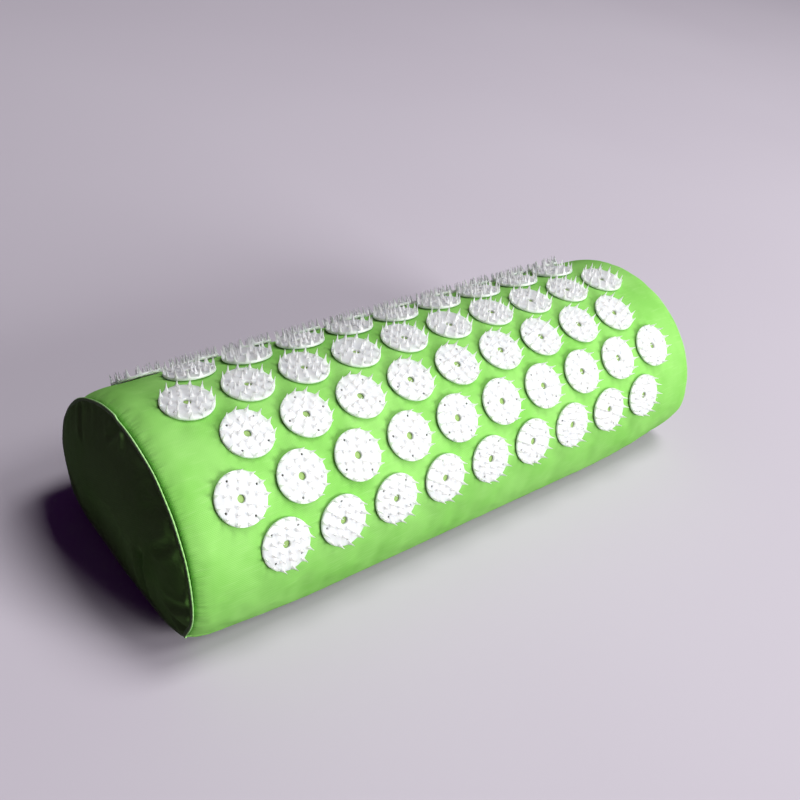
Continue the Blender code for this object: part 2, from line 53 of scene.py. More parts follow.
def smooth(low, high, value):
    # 0 below low, 1 above high, and an even S between them
    share = np.clip((value - low) / (high - low), 0, 1)
    return share * share * (3 - 2 * share)


def makeMesh(name, points, faces, smoothAngle=40):
    mesh = bpy.data.meshes.new(name)
    mesh.from_pydata([tuple(p) for p in points], [], [tuple(f) for f in faces])
    work = bmesh.new()
    work.from_mesh(mesh)
    bmesh.ops.recalc_face_normals(work, faces=work.faces)
    work.to_mesh(mesh)
    work.free()
    mesh.shade_smooth()
    mesh.set_sharp_from_angle(angle=radians(smoothAngle))
    return mesh


def addObject(name, data):
    added = bpy.data.objects.new(name, data)
    bpy.context.scene.collection.objects.link(added)
    return added


def evaluatedMesh(piece):
    return bpy.data.meshes.new_from_object(
        piece.evaluated_get(bpy.context.evaluated_depsgraph_get()))


def addPiece(name, mesh, material, body="pillow", stands=(), seated=None):
    piece = addObject(name, mesh)
    if not mesh.materials:
        mesh.materials.append(material)
    if seated:
        piece.matrix_world = seated
    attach(piece, body)
    if stands:
        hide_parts(*stands)
    return piece


def addModifier(piece, kind, **settings):
    modifier = piece.modifiers.new(kind.title(), kind)
    for key, value in settings.items():
        setattr(modifier, key, value)
    return modifier


def gridFaces(rows, columns, closed=False, ends="open"):
    # quads of a grid of points stored row by row; a closed grid joins its last column to its first,
    # and its first and last row are left open, joined to each other or each capped
    faces = []
    for row in range(rows - 1):
        for column in range(columns if closed else columns - 1):
            after = (column + 1) % columns
            near, far = row * columns, (row + 1) * columns
            faces.append((near + column, near + after, far + after, far + column))
    last = (rows - 1) * columns
    if ends == "joined":
        faces += [(last + i, last + (i + 1) % columns, (i + 1) % columns, i) for i in range(columns)]
    if ends == "capped":
        faces += [tuple(range(columns)), tuple(range(last, last + columns))]
    return faces


def ring(centre, radius, sides, height):
    return [(centre[0] + radius * cos(2 * pi * i / sides), centre[1] + radius * sin(2 * pi * i / sides),
             height) for i in range(sides)]


def joinUp(points, faces, morePoints, moreFaces):
    # adds one more shape to the points and faces of a mesh
    start = len(points)
    points += morePoints
    faces += [tuple(start + i for i in face) for face in moreFaces]


# The half-moon section, measured along the cloth from the crown (+ to the rear)

pillow = {
    "length": 0.3700, "halfWidth": 0.0732, "widest": 0.0300, "height": 0.0980, "flatHalf": 0.0564,
    "archPower": 2.0, "heelPower": 2.3,
    "drawIn": 0.0012, "drawLength": 0.0140,          # pull of the end seams on the cloth
    "cornerDraw": 0.0068, "cornerLength": 0.0850,    # pull of the end seams on the low corners
    "cornerSpread": 0.0300, "cornerUnder": 0.0340,   # how far up the side and under the base
    "leftEase": 0.30,                                # share that the left front corner is pulled less
    "cornerSlide": 0.0030, "lowSlide": 0.0018,       # how far the front low edge is drawn in
    "slideStart": 0.0060, "slideFull": 0.0040, "slideFade": 0.0100,   # where that begins and ends
    "rightReach": 0.0050, "reachLength": 0.0300,     # the right end is stuffed out further
    "zipRise": 0.0250, "tapeWidth": 0.0085, "seamRadius": 0.0009, "seamInset": 0.0004,
    "play": 0.0003,                                  # small gap where two cloths meet
}
endX = pillow["length"] / 2
seamX = endX + pillow["play"] + pillow["seamRadius"]


def sectionLine(steps=1500, flatSteps=60):
    out, rise = [], []
    for angle in np.linspace(pi / 2, 0, steps):
        out.append(pillow["halfWidth"] * max(cos(angle), 0) ** (2 / pillow["archPower"]))
        archRise = (pillow["height"] - pillow["widest"]) * sin(angle) ** (2 / pillow["archPower"])
        rise.append(pillow["widest"] + archRise)
    reach = pillow["halfWidth"] - pillow["flatHalf"]
    for angle in np.linspace(0, pi / 2, steps)[1:]:
        out.append(pillow["flatHalf"] + reach * max(cos(angle), 0) ** (2 / pillow["heelPower"]))
        rise.append(pillow["widest"] * (1 - sin(angle) ** (2 / pillow["heelPower"])))
    side = np.column_stack([out, rise])
    # the flat underside is added, so that the base cloth is on the same line
    flat = np.linspace(pillow["flatHalf"], 0, flatSteps)[1:]
    side = np.vstack([side, np.column_stack([flat, 0 * flat])])
    return np.vstack([side[:0:-1] * (-1, 1), side])


line = sectionLine()
lineSteps = np.diff(line, axis=0)
lineAlong = np.concatenate([[0], np.cumsum(np.hypot(lineSteps[:, 0], lineSteps[:, 1]))])
lineHalf = lineAlong[-1] / 2                         # place of the middle of the underside
lineAlong -= lineHalf
lineHeading = np.interp(lineAlong, (lineAlong[1:] + lineAlong[:-1]) / 2,
                        np.unwrap(np.arctan2(lineSteps[:, 1], lineSteps[:, 0])))
heelHeight = pillow["widest"] * (1 - sin(pi / 4) ** (2 / pillow["heelPower"]))
lowRear = (lineAlong > 0) & (line[:, 1] < pillow["widest"]) & (line[:, 1] > 0)
heel = float(np.interp(heelHeight, line[lowRear, 1][::-1], lineAlong[lowRear][::-1]))
flatStart = lineHalf - pillow["flatHalf"]
zipPlace = heel - pillow["zipRise"]
zipTop = zipPlace - pillow["tapeWidth"] - pillow["play"]
zipFoot = zipPlace + pillow["tapeWidth"] + pillow["play"]


def onLine(place):
    return [np.interp(place, lineAlong, values) for values in (lineHeading, line[:, 0], line[:, 1])]


def skin(x, place, inset=0.0):
    # points of the cover's outer surface, set in by inset; arrays in, array out
    x, place, inset = np.broadcast_arrays(np.asarray(x, float), place, inset)
    heading, y, z = onLine(place)
    away = np.maximum(0, endX - np.abs(x))
    inset = inset + pillow["drawIn"] * np.maximum(0, 1 - away / pillow["drawLength"]) ** 2
    y = y + np.sin(heading) * inset
    z = z - np.cos(heading) * inset
    spread = np.where(np.abs(place) > heel, pillow["cornerUnder"], pillow["cornerSpread"])
    near = np.cos(pi / 2 * np.minimum(1, np.abs(np.abs(place) - heel) / spread)) ** 2
    fade = np.maximum(0, 1 - away / pillow["cornerLength"]) ** 2
    pull = pillow["cornerDraw"] * fade * near * sin(pi / 4)
    pull = pull * np.where((x < 0) & (place < 0), 1 - pillow["leftEase"], 1)
    low = smooth(heel - pillow["slideStart"], flatStart - pillow["slideFull"], -place)
    low = low * (1 - smooth(flatStart + pillow["slideFade"], lineHalf, -place))
    slide = (pillow["cornerSlide"] * near + pillow["lowSlide"]) * low * fade
    reach = pillow["rightReach"] * np.maximum(0, 1 - away / pillow["reachLength"]) ** 2
    x = x - np.sign(x) * slide + np.where(x > 0, reach, 0)
    return np.stack([x, y - np.sign(place) * pull, z + pull], axis=-1)


def seat(x, place, lift=0.0, turn=0.0):
    # placement of a piece on the cloth, its Z outwards and its X along the pillow
    heading, y, z = (float(value) for value in onLine(place))
    placed = Matrix(((1, 0, 0, x), (0, cos(heading), -sin(heading), y - sin(heading) * lift),
                     (0, sin(heading), cos(heading), z + cos(heading) * lift), (0, 0, 0, 1)))
    return placed @ Matrix.Rotation(turn, 4, "Z")


print("section: heel at", round(heel, 5), "zip at", round(zipPlace, 5))


# Materials

def addNode(tree, kind, settings=None, links=None):
    # settings are the node's own attributes or its inputs' values, with _ for a space in a name;
    # links run from a socket to an input
    node = tree.nodes.new("ShaderNode" + kind)
    for key, value in (settings or {}).items():
        if isinstance(key, int):
            node.inputs[key].default_value = value
        elif hasattr(node, key):
            setattr(node, key, value)
        else:
            node.inputs[key.replace("_", " ")].default_value = value
    for key, source in (links or {}).items():
        tree.links.new(source, node.inputs[key])
    return node


def emptyTree(owner):
    owner.use_nodes = True
    owner.node_tree.nodes.clear()
    return owner.node_tree


def newMaterial(name):
    material = bpy.data.materials.new(name)
    return material, emptyTree(material)


def solidSpace(tree):
    return addNode(tree, "TexCoord").outputs["Object"]


def clothSpace(tree):
    return addNode(tree, "UVMap", {"uv_map": "cloth"}).outputs["UV"]


def texture(tree, kind, scale, space, **settings):
    node = addNode(tree, "Tex" + kind, {"Scale": scale, **settings}, {"Vector": space})
    return node.outputs["Distance" if kind == "Voronoi" else "Fac"]


def compute(tree, operation, *inputs):
    # inputs are sockets or plain numbers
    numbers = {i: value for i, value in enumerate(inputs) if isinstance(value, float)}
    sockets = {i: value for i, value in enumerate(inputs) if i not in numbers}
    return addNode(tree, "Math", {"operation": operation, **numbers}, sockets).outputs[0]


def remap(tree, value, low=0, high=1, toLow=0, toHigh=1, way="LINEAR"):
    return addNode(tree, "MapRange", {"interpolation_type": way, "From Min": low, "From Max": high,
                   "To Min": toLow, "To Max": toHigh}, {"Value": value}).outputs["Result"]


def blend(tree, share, low, high):
    # low and high are hex colours or colour sockets
    ends = {6: low, 7: high}
    colours = {key: toLinear(end) for key, end in ends.items() if isinstance(end, str)}
    sockets = {key: end for key, end in ends.items() if key not in colours}
    return addNode(tree, "Mix", {"data_type": "RGBA", **colours},
                   {0: share, **sockets}).outputs[2]


def bump(tree, height, strength, depth, under=None):
    links = {"Height": height} if under is None else {"Height": height, "Normal": under}
    return addNode(tree, "Bump", {"Strength": strength, "Distance": depth},
                   links).outputs["Normal"]


def finish(material, colour, rough=None, normal=None, **values):
    # the shader takes what the nodes work out and, for the whole surface, plain values
    links = {"Base Color": colour, "Roughness": rough, "Normal": normal}
    links = {key: source for key, source in links.items() if source is not None}
    shader = addNode(material.node_tree, "BsdfPrincipled", values, links)
    addNode(material.node_tree, "OutputMaterial", links={"Surface": shader.outputs["BSDF"]})
    return material


bandWidth = 0.31416               # width of one band of a wave texture at scale 1
canvas = {
    "cover": ("#8fce68", "#7fc257", "#9fd47c"),      # lit, deep and worn
    "threadSpacing": 0.00060,     # real canvas has 0.4 mm; drawn coarser so that it shows close up
    "weaveDepth": 0.00009, "mottleSize": 0.035, "slubSize": 0.0015,
    "crumpleSize": 0.012, "crumpleDepth": 0.0003,
    "gatherSize": 0.0022, "gatherReach": 0.0090, "gatherDepth": 0.0010,
    "stretch": 0.12,              # how far slubs and gathers are drawn out along the pillow
    # the seam colours are paler than the cover's: a painted highlight for the light caught on the rolled
    # seam edges
    "seam": ("#b6e69c", "#9fd980", "#c6ecb0"), "seamThread": 0.8,
}


def wovenCotton(name, spacing, colours):
    # Plain-woven cotton canvas, piece-dyed: matte with a fine thread grain, slubs where the yarn
    # thickens, slow mottling of the dye and a faint bloom of loose fibre at grazing angles.
    lit, deep, worn = colours
    material, tree = newMaterial(name)
    solid, cloth = solidSpace(tree), clothSpace(tree)
    threads = [texture(tree, "Wave", bandWidth / spacing / 2, cloth, bands_direction=way,
                       Distortion=0.5, Detail=1.0, Detail_Scale=0.4) for way in "XY"]
    crossing = compute(tree, "MULTIPLY", *[compute(tree, "SUBTRACT", fac, 0.5) for fac in threads])
    weave = remap(tree, crossing, -0.25, 0.25)
    mottle = texture(tree, "Noise", 1 / canvas["mottleSize"], solid, Detail=3.0, Roughness=0.55)
    drawn = addNode(tree, "Mapping", {"Scale": (canvas["stretch"], 1, 1)},
                    {"Vector": cloth}).outputs["Vector"]
    slubs = texture(tree, "Noise", 1 / canvas["slubSize"], drawn, Detail=2.0)
    dyed = blend(tree, remap(tree, mottle, 0.35, 0.62), deep, lit)
    slubbed = blend(tree, remap(tree, slubs, 0.56, 0.78, 0, 0.35), dyed, worn)
    # painted shade: the colour is made up to 4% darker where the weave is low, in the hollows between
    # threads, and 1% lighter where it is high
    weaveShadedColour = addNode(tree, "VectorMath", {"operation": "SCALE"},
                       {0: slubbed, "Scale": remap(tree, weave, 0, 1, 0.96, 1.01)}).outputs[0]
    crumple = texture(tree, "Noise", 1 / canvas["crumpleSize"], solid, Detail=3.0, Roughness=0.5)
    softBump = bump(tree, crumple, 0.35, canvas["crumpleDepth"])
    # fine gathers that run square into the end seams and die out on the way to the middle
    along = addNode(tree, "SeparateXYZ", links={0: cloth}).outputs["X"]
    nearEnd = remap(tree, compute(tree, "ABSOLUTE", along), endX - canvas["gatherReach"], endX,
                    way="SMOOTHSTEP")
    pleats = texture(tree, "Noise", 1 / canvas["gatherSize"], drawn, Detail=2.0)
    gathered = compute(tree, "MULTIPLY", nearEnd, pleats)
    gatherBump = bump(tree, gathered, 0.9, canvas["gatherDepth"], softBump)
    return finish(material, weaveShadedColour, remap(tree, weave, 0, 1, 0.94, 0.80),
                  bump(tree, weave, 0.5, canvas["weaveDepth"], gatherBump),
                  Sheen_Weight=0.08, Sheen_Roughness=0.45, Specular_IOR_Level=0.18,
                  Sheen_Tint=toLinear(worn))


cotton = wovenCotton("piece-dyed cotton canvas", canvas["threadSpacing"], canvas["cover"])
# the same canvas in the paler seam colours, a painted highlight; used for the end seams and the
# topstitches
seamCottonPaintedHighlight = wovenCotton("turned cotton seam edge with painted highlight",
                         canvas["threadSpacing"] * canvas["seamThread"], canvas["seam"])

plastic = {
    "white": "#f6f7f4", "shade": "#eef1ee", "roughness": 0.34, "grainSize": 0.0009,
    "grainDepth": 0.00003, "flowSize": 0.012, "lightDepth": 0.0050,
}


def mouldedWhite():
    # Injection-moulded white polystyrene: satin gloss off a fine-ground mould, slightly waxy
    # because light enters it, and a touch greyer where the plastic flowed together.
    material, tree = newMaterial("injection-moulded white polystyrene")
    solid = solidSpace(tree)
    flow = texture(tree, "Noise", 1 / plastic["flowSize"], solid, Detail=2.0)
    grain = texture(tree, "Noise", 1 / plastic["grainSize"], solid, Detail=2.0)
    rough = remap(tree, grain, 0, 1, plastic["roughness"] - 0.05, plastic["roughness"] + 0.08)
    return finish(material, blend(tree, flow, plastic["shade"], plastic["white"]), rough,
                  bump(tree, grain, 0.4, plastic["grainDepth"]),
                  IOR=1.59, Specular_IOR_Level=0.45, Subsurface_Weight=1.0,
                  Subsurface_Scale=plastic["lightDepth"], Subsurface_Radius=(1.0, 0.95, 0.9))


# sizes of what the smaller materials show, in metres
grains = {"foamCell": 0.0014, "foamTone": 0.06, "tapeRib": 0.00126, "coilStreak": 0.004,
          "zincRub": 0.0016, "holeShadeMottle": 0.0012}


def cellFoam():
    # Cut polyurethane foam: chalky and soft-edged, with small open cells and a slight yellowing.
    material, tree = newMaterial("cut polyurethane foam")
    solid = solidSpace(tree)
    cells = texture(tree, "Voronoi", 1 / grains["foamCell"], solid)
    yellowing = texture(tree, "Noise", 1 / grains["foamTone"], solid)
    return finish(material, blend(tree, yellowing, "#efe9d2", "#f6f3e6"),
                  normal=bump(tree, cells, 0.7, 0.0004), Roughness=0.95, Specular_IOR_Level=0.2)


def twillTape():
    # Woven polyester zip tape: a fine diagonal rib and a slight silky gloss along the ribs.
    material, tree = newMaterial("woven polyester zip tape")
    rib = texture(tree, "Wave", bandWidth / grains["tapeRib"], clothSpace(tree),
                  bands_direction="DIAGONAL", Distortion=0.3)
    return finish(material, blend(tree, rib, "#6fb74a", "#86cd5f"), remap(tree, rib, 0, 1, 0.8, 0.62),
                  bump(tree, rib, 0.5, 0.00015), Specular_IOR_Level=0.35)


def nylonCoil():
    # Nylon monofilament, dyed with the tape: smooth and a little translucent, so it looks glossier.
    material, tree = newMaterial("dyed nylon monofilament")
    streak = texture(tree, "Noise", 1 / grains["coilStreak"], solidSpace(tree))
    return finish(material, blend(tree, streak, "#7cc456", "#93d96c"),
                  remap(tree, streak, 0, 1, 0.3, 0.42), IOR=1.53)


def castZinc():
    # Die-cast zinc, barrel-polished and nickel-plated: a soft grey shine with faint rubbing marks
    # that are duller than the rest.
    material, tree = newMaterial("nickel-plated die-cast zinc")
    rubbed = texture(tree, "Noise", 1 / grains["zincRub"], solidSpace(tree), Detail=4.0)
    return finish(material, blend(tree, rubbed, "#b3b2ae", "#cfcecb"),
                  remap(tree, rubbed, 0, 1, 0.24, 0.46), bump(tree, rubbed, 0.25, 0.00005),
                  Metallic=1.0)


def paintHoleShade(name, deep, lighter):
    # Painted shade: a dark spot with a dull shine, laid at the bottom of a hole where the cloth lies in
    # shadow.
    material, tree = newMaterial(name)
    shadeMottle = texture(tree, "Noise", 1 / grains["holeShadeMottle"], solidSpace(tree))
    return finish(material, blend(tree, shadeMottle, deep, lighter), Roughness=0.5, Specular_IOR_Level=0.3)


discPlastic, foam, tape, coil, zinc = mouldedWhite(), cellFoam(), twillTape(), nylonCoil(), castZinc()
print("materials made")


# Discs: where they sit, and the one mesh that they share

discs = {
    "pitch": 0.0340, "rowPitch": 0.0283, "endMargin": 0.0300, "footMargin": 0.0300,
    "separate": 47, "turn": radians(137.5), "lift": 0.0003,
    "radius": 0.01350, "plate": 0.0015, "edgeRound": 0.00035, "hole": 0.0020,
    "spikeHeight": 0.0046, "spikeWidth": 0.0024, "rimSpikes": 13, "rimLean": 0.15,
    "rings": ((9, 0.555), (5, 0.23)), "sunk": 0.0003, "segments": 52,    # rings: count, place
    "pinRadius": 0.00066, "pinShare": 0.785, "pinDepth": 0.0009, "pinSides": 10, "drillAbove": 0.001,
    # sizes of the dark beads that paint the shade in the middle holes and the pin holes
    "holeShadeRadius": 0.00192, "holeShadeRise": 0.00028, "holeShadeStart": 0.00004, "beadSides": 14,
    "beadShare": 0.96, "beadRise": 0.00015, "beadStart": 0.0001,
}


def discPlaces():
    sideRows = int((heel - discs["footMargin"]) / discs["rowPitch"])
    wideCount = int((pillow["length"] - 2 * discs["endMargin"]) / discs["pitch"]) + 1
    found = []
    for row in range(-sideRows, sideRows + 1):
        count = wideCount - row % 2
        for number in range(count):
            found.append((row + sideRows + 1, number + 1,
                          (number - (count - 1) / 2) * discs["pitch"], row * discs["rowPitch"]))
    return found


def lathe(profile, segments):
    # closed ring turned round Z from (radius, height) points
    points = [point for radius, height in profile for point in ring((0, 0), radius, segments, height)]
    return points, gridFaces(len(profile), segments, closed=True, ends="joined")


def spike(foot, tip, height):
    # slender three-sided thorn: a wide foot, a waist and a blunt tip, so its flanks are hollow
    centre = sum(foot, Vector((0, 0))) / 3
    levels = ((0.0, 1.0), (0.16, 0.68), (0.5, 0.34), (0.97, 0.09))    # (share of height, of width)
    points = [(*corner, -discs["sunk"]) for corner in foot]
    for rise, share in levels:
        middle = centre.lerp(tip, rise)
        points += [(*(middle + (corner - centre) * share), rise * height) for corner in foot]
    faces = gridFaces(len(levels) + 1, 3, closed=True)
    return points, faces + [(0, 1, 2), tuple(len(points) - i for i in (1, 2, 3))]


def spikeFeet():
    radius, width = discs["radius"], discs["spikeWidth"]
    depth, halfAngle = width * cos(pi / 6), width / 2 / discs["radius"]
    polar = lambda r, a: Vector((r * cos(a), r * sin(a)))
    for number in range(discs["rimSpikes"]):
        angle = 2 * pi * number / discs["rimSpikes"]
        yield ([polar(radius, angle - halfAngle), polar(radius, angle + halfAngle),
                polar(radius - depth, angle)], polar(radius - depth * discs["rimLean"], angle))
    for count, share in discs["rings"]:
        reach = discs["hole"] + (radius - discs["hole"]) * share
        for number in range(count):
            angle = 2 * pi * number / count
            centre = polar(reach, angle)
            foot = [centre + polar(width / 2 / cos(pi / 6), angle + turn)
                    for turn in (pi, -pi / 3, pi / 3)]
            yield foot, centre


def pinSpots(level):
    reach = discs["pinShare"] * discs["radius"]
    return [(reach * cos(pi / 4 + pi / 2 * number), reach * sin(pi / 4 + pi / 2 * number), level)
            for number in range(4)]


def discMesh():
    r, h, e, hole = discs["radius"], discs["plate"], discs["edgeRound"], discs["hole"]
    profile = [(hole, e / 2), (hole, h - e), (hole + e, h), (r - e, h), (r - e * 0.3, h - e * 0.3),
               (r, h - e), (r, e), (r - e * 0.3, e * 0.3), (r - e, 0), (hole + e / 2, 0)]
    pins, pinFaces, thorns, thornFaces = [], [], [], []
    sides = discs["pinSides"]
    for spot in pinSpots(0):
        drill = [point for level in (h - discs["pinDepth"], h + discs["drillAbove"])
                 for point in ring(spot, discs["pinRadius"], sides, level)]
        joinUp(pins, pinFaces, drill, gridFaces(2, sides, closed=True, ends="capped"))
    for foot, tip in spikeFeet():
        points, faces = spike(foot, tip, discs["spikeHeight"])
        joinUp(thorns, thornFaces, [(x, y, z + h) for x, y, z in points], faces)
    shapes = {"plateBody": lathe(profile, discs["segments"]), "thorns": (thorns, thornFaces),
              "pinDrill": (pins, pinFaces)}
    helpers = [addObject(name, makeMesh(name, *shape)) for name, shape in shapes.items()]
    body, added, drilled = helpers
    addModifier(body, "BOOLEAN", operation="UNION", solver="EXACT", object=added)
    addModifier(body, "BOOLEAN", operation="DIFFERENCE", solver="EXACT", object=drilled)
    bpy.context.view_layer.update()
    mesh = evaluatedMesh(body)
    for helper in helpers:
        bpy.data.objects.remove(helper, do_unlink=True)
    mesh.shade_smooth()
    mesh.set_sharp_from_angle(angle=radians(32))
    return mesh


def discSeats():
    for order, (row, number, x, place) in enumerate(discPlaces()):
        yield order, f"disc_row{row}_{number:02d}", seat(x, place, discs["lift"], order * discs["turn"])


def buildDiscs():
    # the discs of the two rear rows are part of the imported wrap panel, so nothing is replaced there
    mesh = discMesh()
    for order, name, seated in discSeats():
        stands = (name,) if order < discs["separate"] else ()
        addPiece("spiked_" + name, mesh, discPlastic, stands=stands, seated=seated)
    return len(mesh.polygons)


def buildBeads(name, spots, radius, rise, material):
    # a low round bead at each spot of every disc, given in the disc's own plane
    sides, points, faces = discs["beadSides"], [], []
    rim = ring((0, 0), radius, sides, rise * 0.4) + [(0, 0, rise), (0, 0, 0)]
    fan = [face for i in range(sides)
           for face in ((i, (i + 1) % sides, sides), ((i + 1) % sides, i, sides + 1))]
    for _, _, seated in discSeats():
        for spot in spots:
            joinUp(points, faces, [seated @ (Vector(spot) + Vector(p)) for p in rim], fan)
    addPiece(name, makeMesh(name, points, faces), material)


# the photo shows the middle hole green-brown and the four small holes nearly black
print("discs:", buildDiscs(), "faces each")
# painted shade: a dull olive bead at the bottom of each middle hole and a near-black one in each pin
# hole stand in for the shade inside the holes
buildBeads("middle_hole_shade", [(0, 0, discs["holeShadeStart"])], discs["holeShadeRadius"], discs["holeShadeRise"],
           paintHoleShade("painted shade in the middle holes", "#83a356", "#98bb6b"))
# painted shade: the near-black beads in the pin holes
buildBeads("pin_hole_shade", pinSpots(discs["plate"] - discs["pinDepth"] + discs["beadStart"]),
           discs["pinRadius"] * discs["beadShare"], discs["beadRise"],
           paintHoleShade("painted shade in the pin holes", "#17190f", "#242817"))


# Cotton cover: grids that follow the half-moon, tensioned by a short cloth simulation

cover = {
    "cell": 0.0031, "sideCell": 0.0024, "edgeCell": 0.0012, "edgeReach": 0.016,
    "thickness": 0.0008, "tuck": 0.0004,             # the right end is tucked that near to its seam
    "sideRoll": 0.0010, "sideWidth": 0.0045,         # where the long edges turn into their seams
    "creviceWidth": 0.0016,                          # the dark gap right beside an end seam
    "gatherDepth": 0.0006, "gatherLength": 0.0065,   # small gathers along the end seams
    "fineGather": 0.7, "fineLength": 2.1, "gatherSpread": 1.2, "gatherStart": 0.0015,
    "underDisc": 0.00006, "discFall": 0.0080, "discHold": 0.001,
    "rimGap": 0.7, "rimGapStart": 0.4,               # share of the fall left open under a rim
    "held": 0.0030, "sideHeld": 0.0008,              # how near to a seam the cloth doesn't move
    "settle": 0.0300, "zipSettle": 0.0020, "floorTurn": 0.12,    # a shallower turn at the floor
    "slack": -0.006, "pressure": 3.0, "frames": 18, "cap": 0.0008,
}
# what the cloth simulation takes for stiff cotton canvas
clothFeel = {
    "quality": 6, "mass": 0.25, "tension_stiffness": 25, "compression_stiffness": 25,
    "shear_stiffness": 8, "bending_stiffness": 0.6, "vertex_group_mass": "held",
    "use_pressure": True, "air_damping": 4,
}
# each end of the cover: depth and width of the turn into the seam, the gap beside it, how deep the
# seam and the panel's edge sit over the arch and at the foot, and how far the panel swells
endShape = {
    -1: {"roll": 0.0034, "width": 0.0105, "crevice": 0.0016, "seamIn": 0.00135,
         "panelInset": 0.0012, "foot": 0.0020, "puff": 0.0060},
    1: {"roll": 0.0036, "width": 0.0090, "crevice": 0.0007, "seamIn": 0.0050,
        "panelInset": 0.0050, "foot": 0.0013, "puff": 0.0036},
}


def spread(start, stop, cell):
    # positions from start to stop, closer together at both ends
    found, here = [start], start
    while here < stop:
        share = min(1, min(here - start, stop - here) / cover["edgeReach"])
        here += cover["edgeCell"] + (cell - cover["edgeCell"]) * share
        found.append(here)
    found = np.array(found)
    return start + (found - start) * (stop - start) / (found[-1] - start)


def waver(x, y, size, seed):
    # slow, repeatable wander between about -1 and 1
    return noise.noise(Vector((x / size, y / size, seed)))


def ringWaver(run, size, seed):
    # the same along the ring of an end seam, without a step where the ring closes
    angle, radius = pi * run / lineHalf, lineHalf / pi
    return waver(radius * cos(angle), radius * sin(angle), size, seed)


def turnIn(distance, depth, width):
    # how far the cloth is set in at this distance from a seam, over a quarter of an ellipse
    share = np.clip(1 - distance / width, 0, 1)
    return depth * float(1 - np.sqrt(1 - share ** 2))


def gathers(run, distance, width, seed):
    # small irregular folds that run square to a seam and die out over its turn
    fold = waver(run, 0, cover["gatherLength"], seed)
    fold += cover["fineGather"] * waver(run, 0, cover["gatherLength"] / cover["fineLength"], seed + 7)
    reach = max(0, 1 - distance / (cover["gatherSpread"] * width))
    reach *= float(smooth(0, cover["gatherStart"], distance))
    return cover["gatherDepth"] * fold * reach


def settled(place):
    # 0 on the arch, 1 where the cloth lies on the floor or meets the zip
    place = np.asarray(place, float)
    return np.maximum(smooth(heel - cover["settle"], flatStart, -place),
                      smooth(zipTop - cover["settle"] / 2, zipTop - cover["zipSettle"], place))


def endInset(side, kind, places):
    end = endShape[side]
    return end[kind] + (end["foot"] - end[kind]) * settled(places)


allPlaces = discPlaces()
seats = [seat(x, place, discs["lift"]).inverted() for _, _, x, place in allPlaces]


def discLift(x, place, point):
    # the cloth is flat under the middle of each disc and falls away from it towards the rim
    lift, radius = 0.0, discs["radius"]
    reach = radius + cover["discFall"]
    for seated, (_, _, dx, dPlace) in zip(seats, allPlaces):
        if abs(x - dx) > reach or abs(place - dPlace) > reach:
            continue
        local = seated @ Vector(point)
        away = hypot(local.x, local.y)
        fall = 1 - smooth(radius, reach, away)
        fall *= 1 - cover["rimGap"] * smooth(radius * cover["rimGapStart"], radius, away)
        lift = max(lift, float(fall) * (-cover["underDisc"] - local.z))
    return lift


def underDisc(x, place):
    return any(hypot(x - dx, place - dPlace) < discs["radius"] - cover["discHold"]
               for _, _, dx, dPlace in allPlaces)


def around(place):
    # the same place, counted from the crown the short way
    return (place + lineHalf) % (2 * lineHalf) - lineHalf


def clothGrid(xs, runs, seamAt, seed):
    # points of a cloth that follows the section; seamAt is the place of its sewn long edge
    points, pins = [], []
    for x in xs:
        for run in runs:
            place = around(run)
            toEnd = max(0, endX - abs(x))
            toSide = abs(run - seamAt)
            end = endShape[-1 if x < 0 else 1]
            offFloor = float(1 - settled(place))
            inset = turnIn(toEnd, end["roll"], end["width"])
            inset += gathers(place, toEnd, end["width"], seed if x < 0 else seed + 20)
            inset *= cover["floorTurn"] + (1 - cover["floorTurn"]) * offFloor
            inset += end["crevice"] * max(0, 1 - toEnd / cover["creviceWidth"]) * offFloor
            inset += turnIn(toSide, cover["sideRoll"], cover["sideWidth"])
            point = skin(x, place, inset)
            heading = float(onLine(place)[0])
            lift = discLift(x, place, point)
            points.append(point + np.array((0, -sin(heading), cos(heading))) * lift)
            pins.append(toEnd < cover["held"] or toSide < cover["sideHeld"]
                        or lift > 0 and underDisc(x, place))
    return np.array(points), pins


def addClothMap(mesh, spots):
    # UV map in metres, so that the weave keeps its real size
    layer = mesh.uv_layers.new(name="cloth")
    for loop in mesh.loops:
        layer.data[loop.index].uv = spots[loop.vertex_index]


def clothMesh(name, points, rows, columns, spots):
    # a sheet's mesh with its normals away from the middle of the pillow
    mesh = bpy.data.meshes.new(name)
    mesh.from_pydata([tuple(p) for p in points], [], gridFaces(rows, columns))
    middle = Vector((0, 0, pillow["height"] / 2))
    outward = sum((face.center - middle).dot(face.normal) * face.area for face in mesh.polygons)
    if outward < 0:
        mesh.flip_normals()
    mesh.shade_smooth()
    addClothMap(mesh, spots)
    return mesh


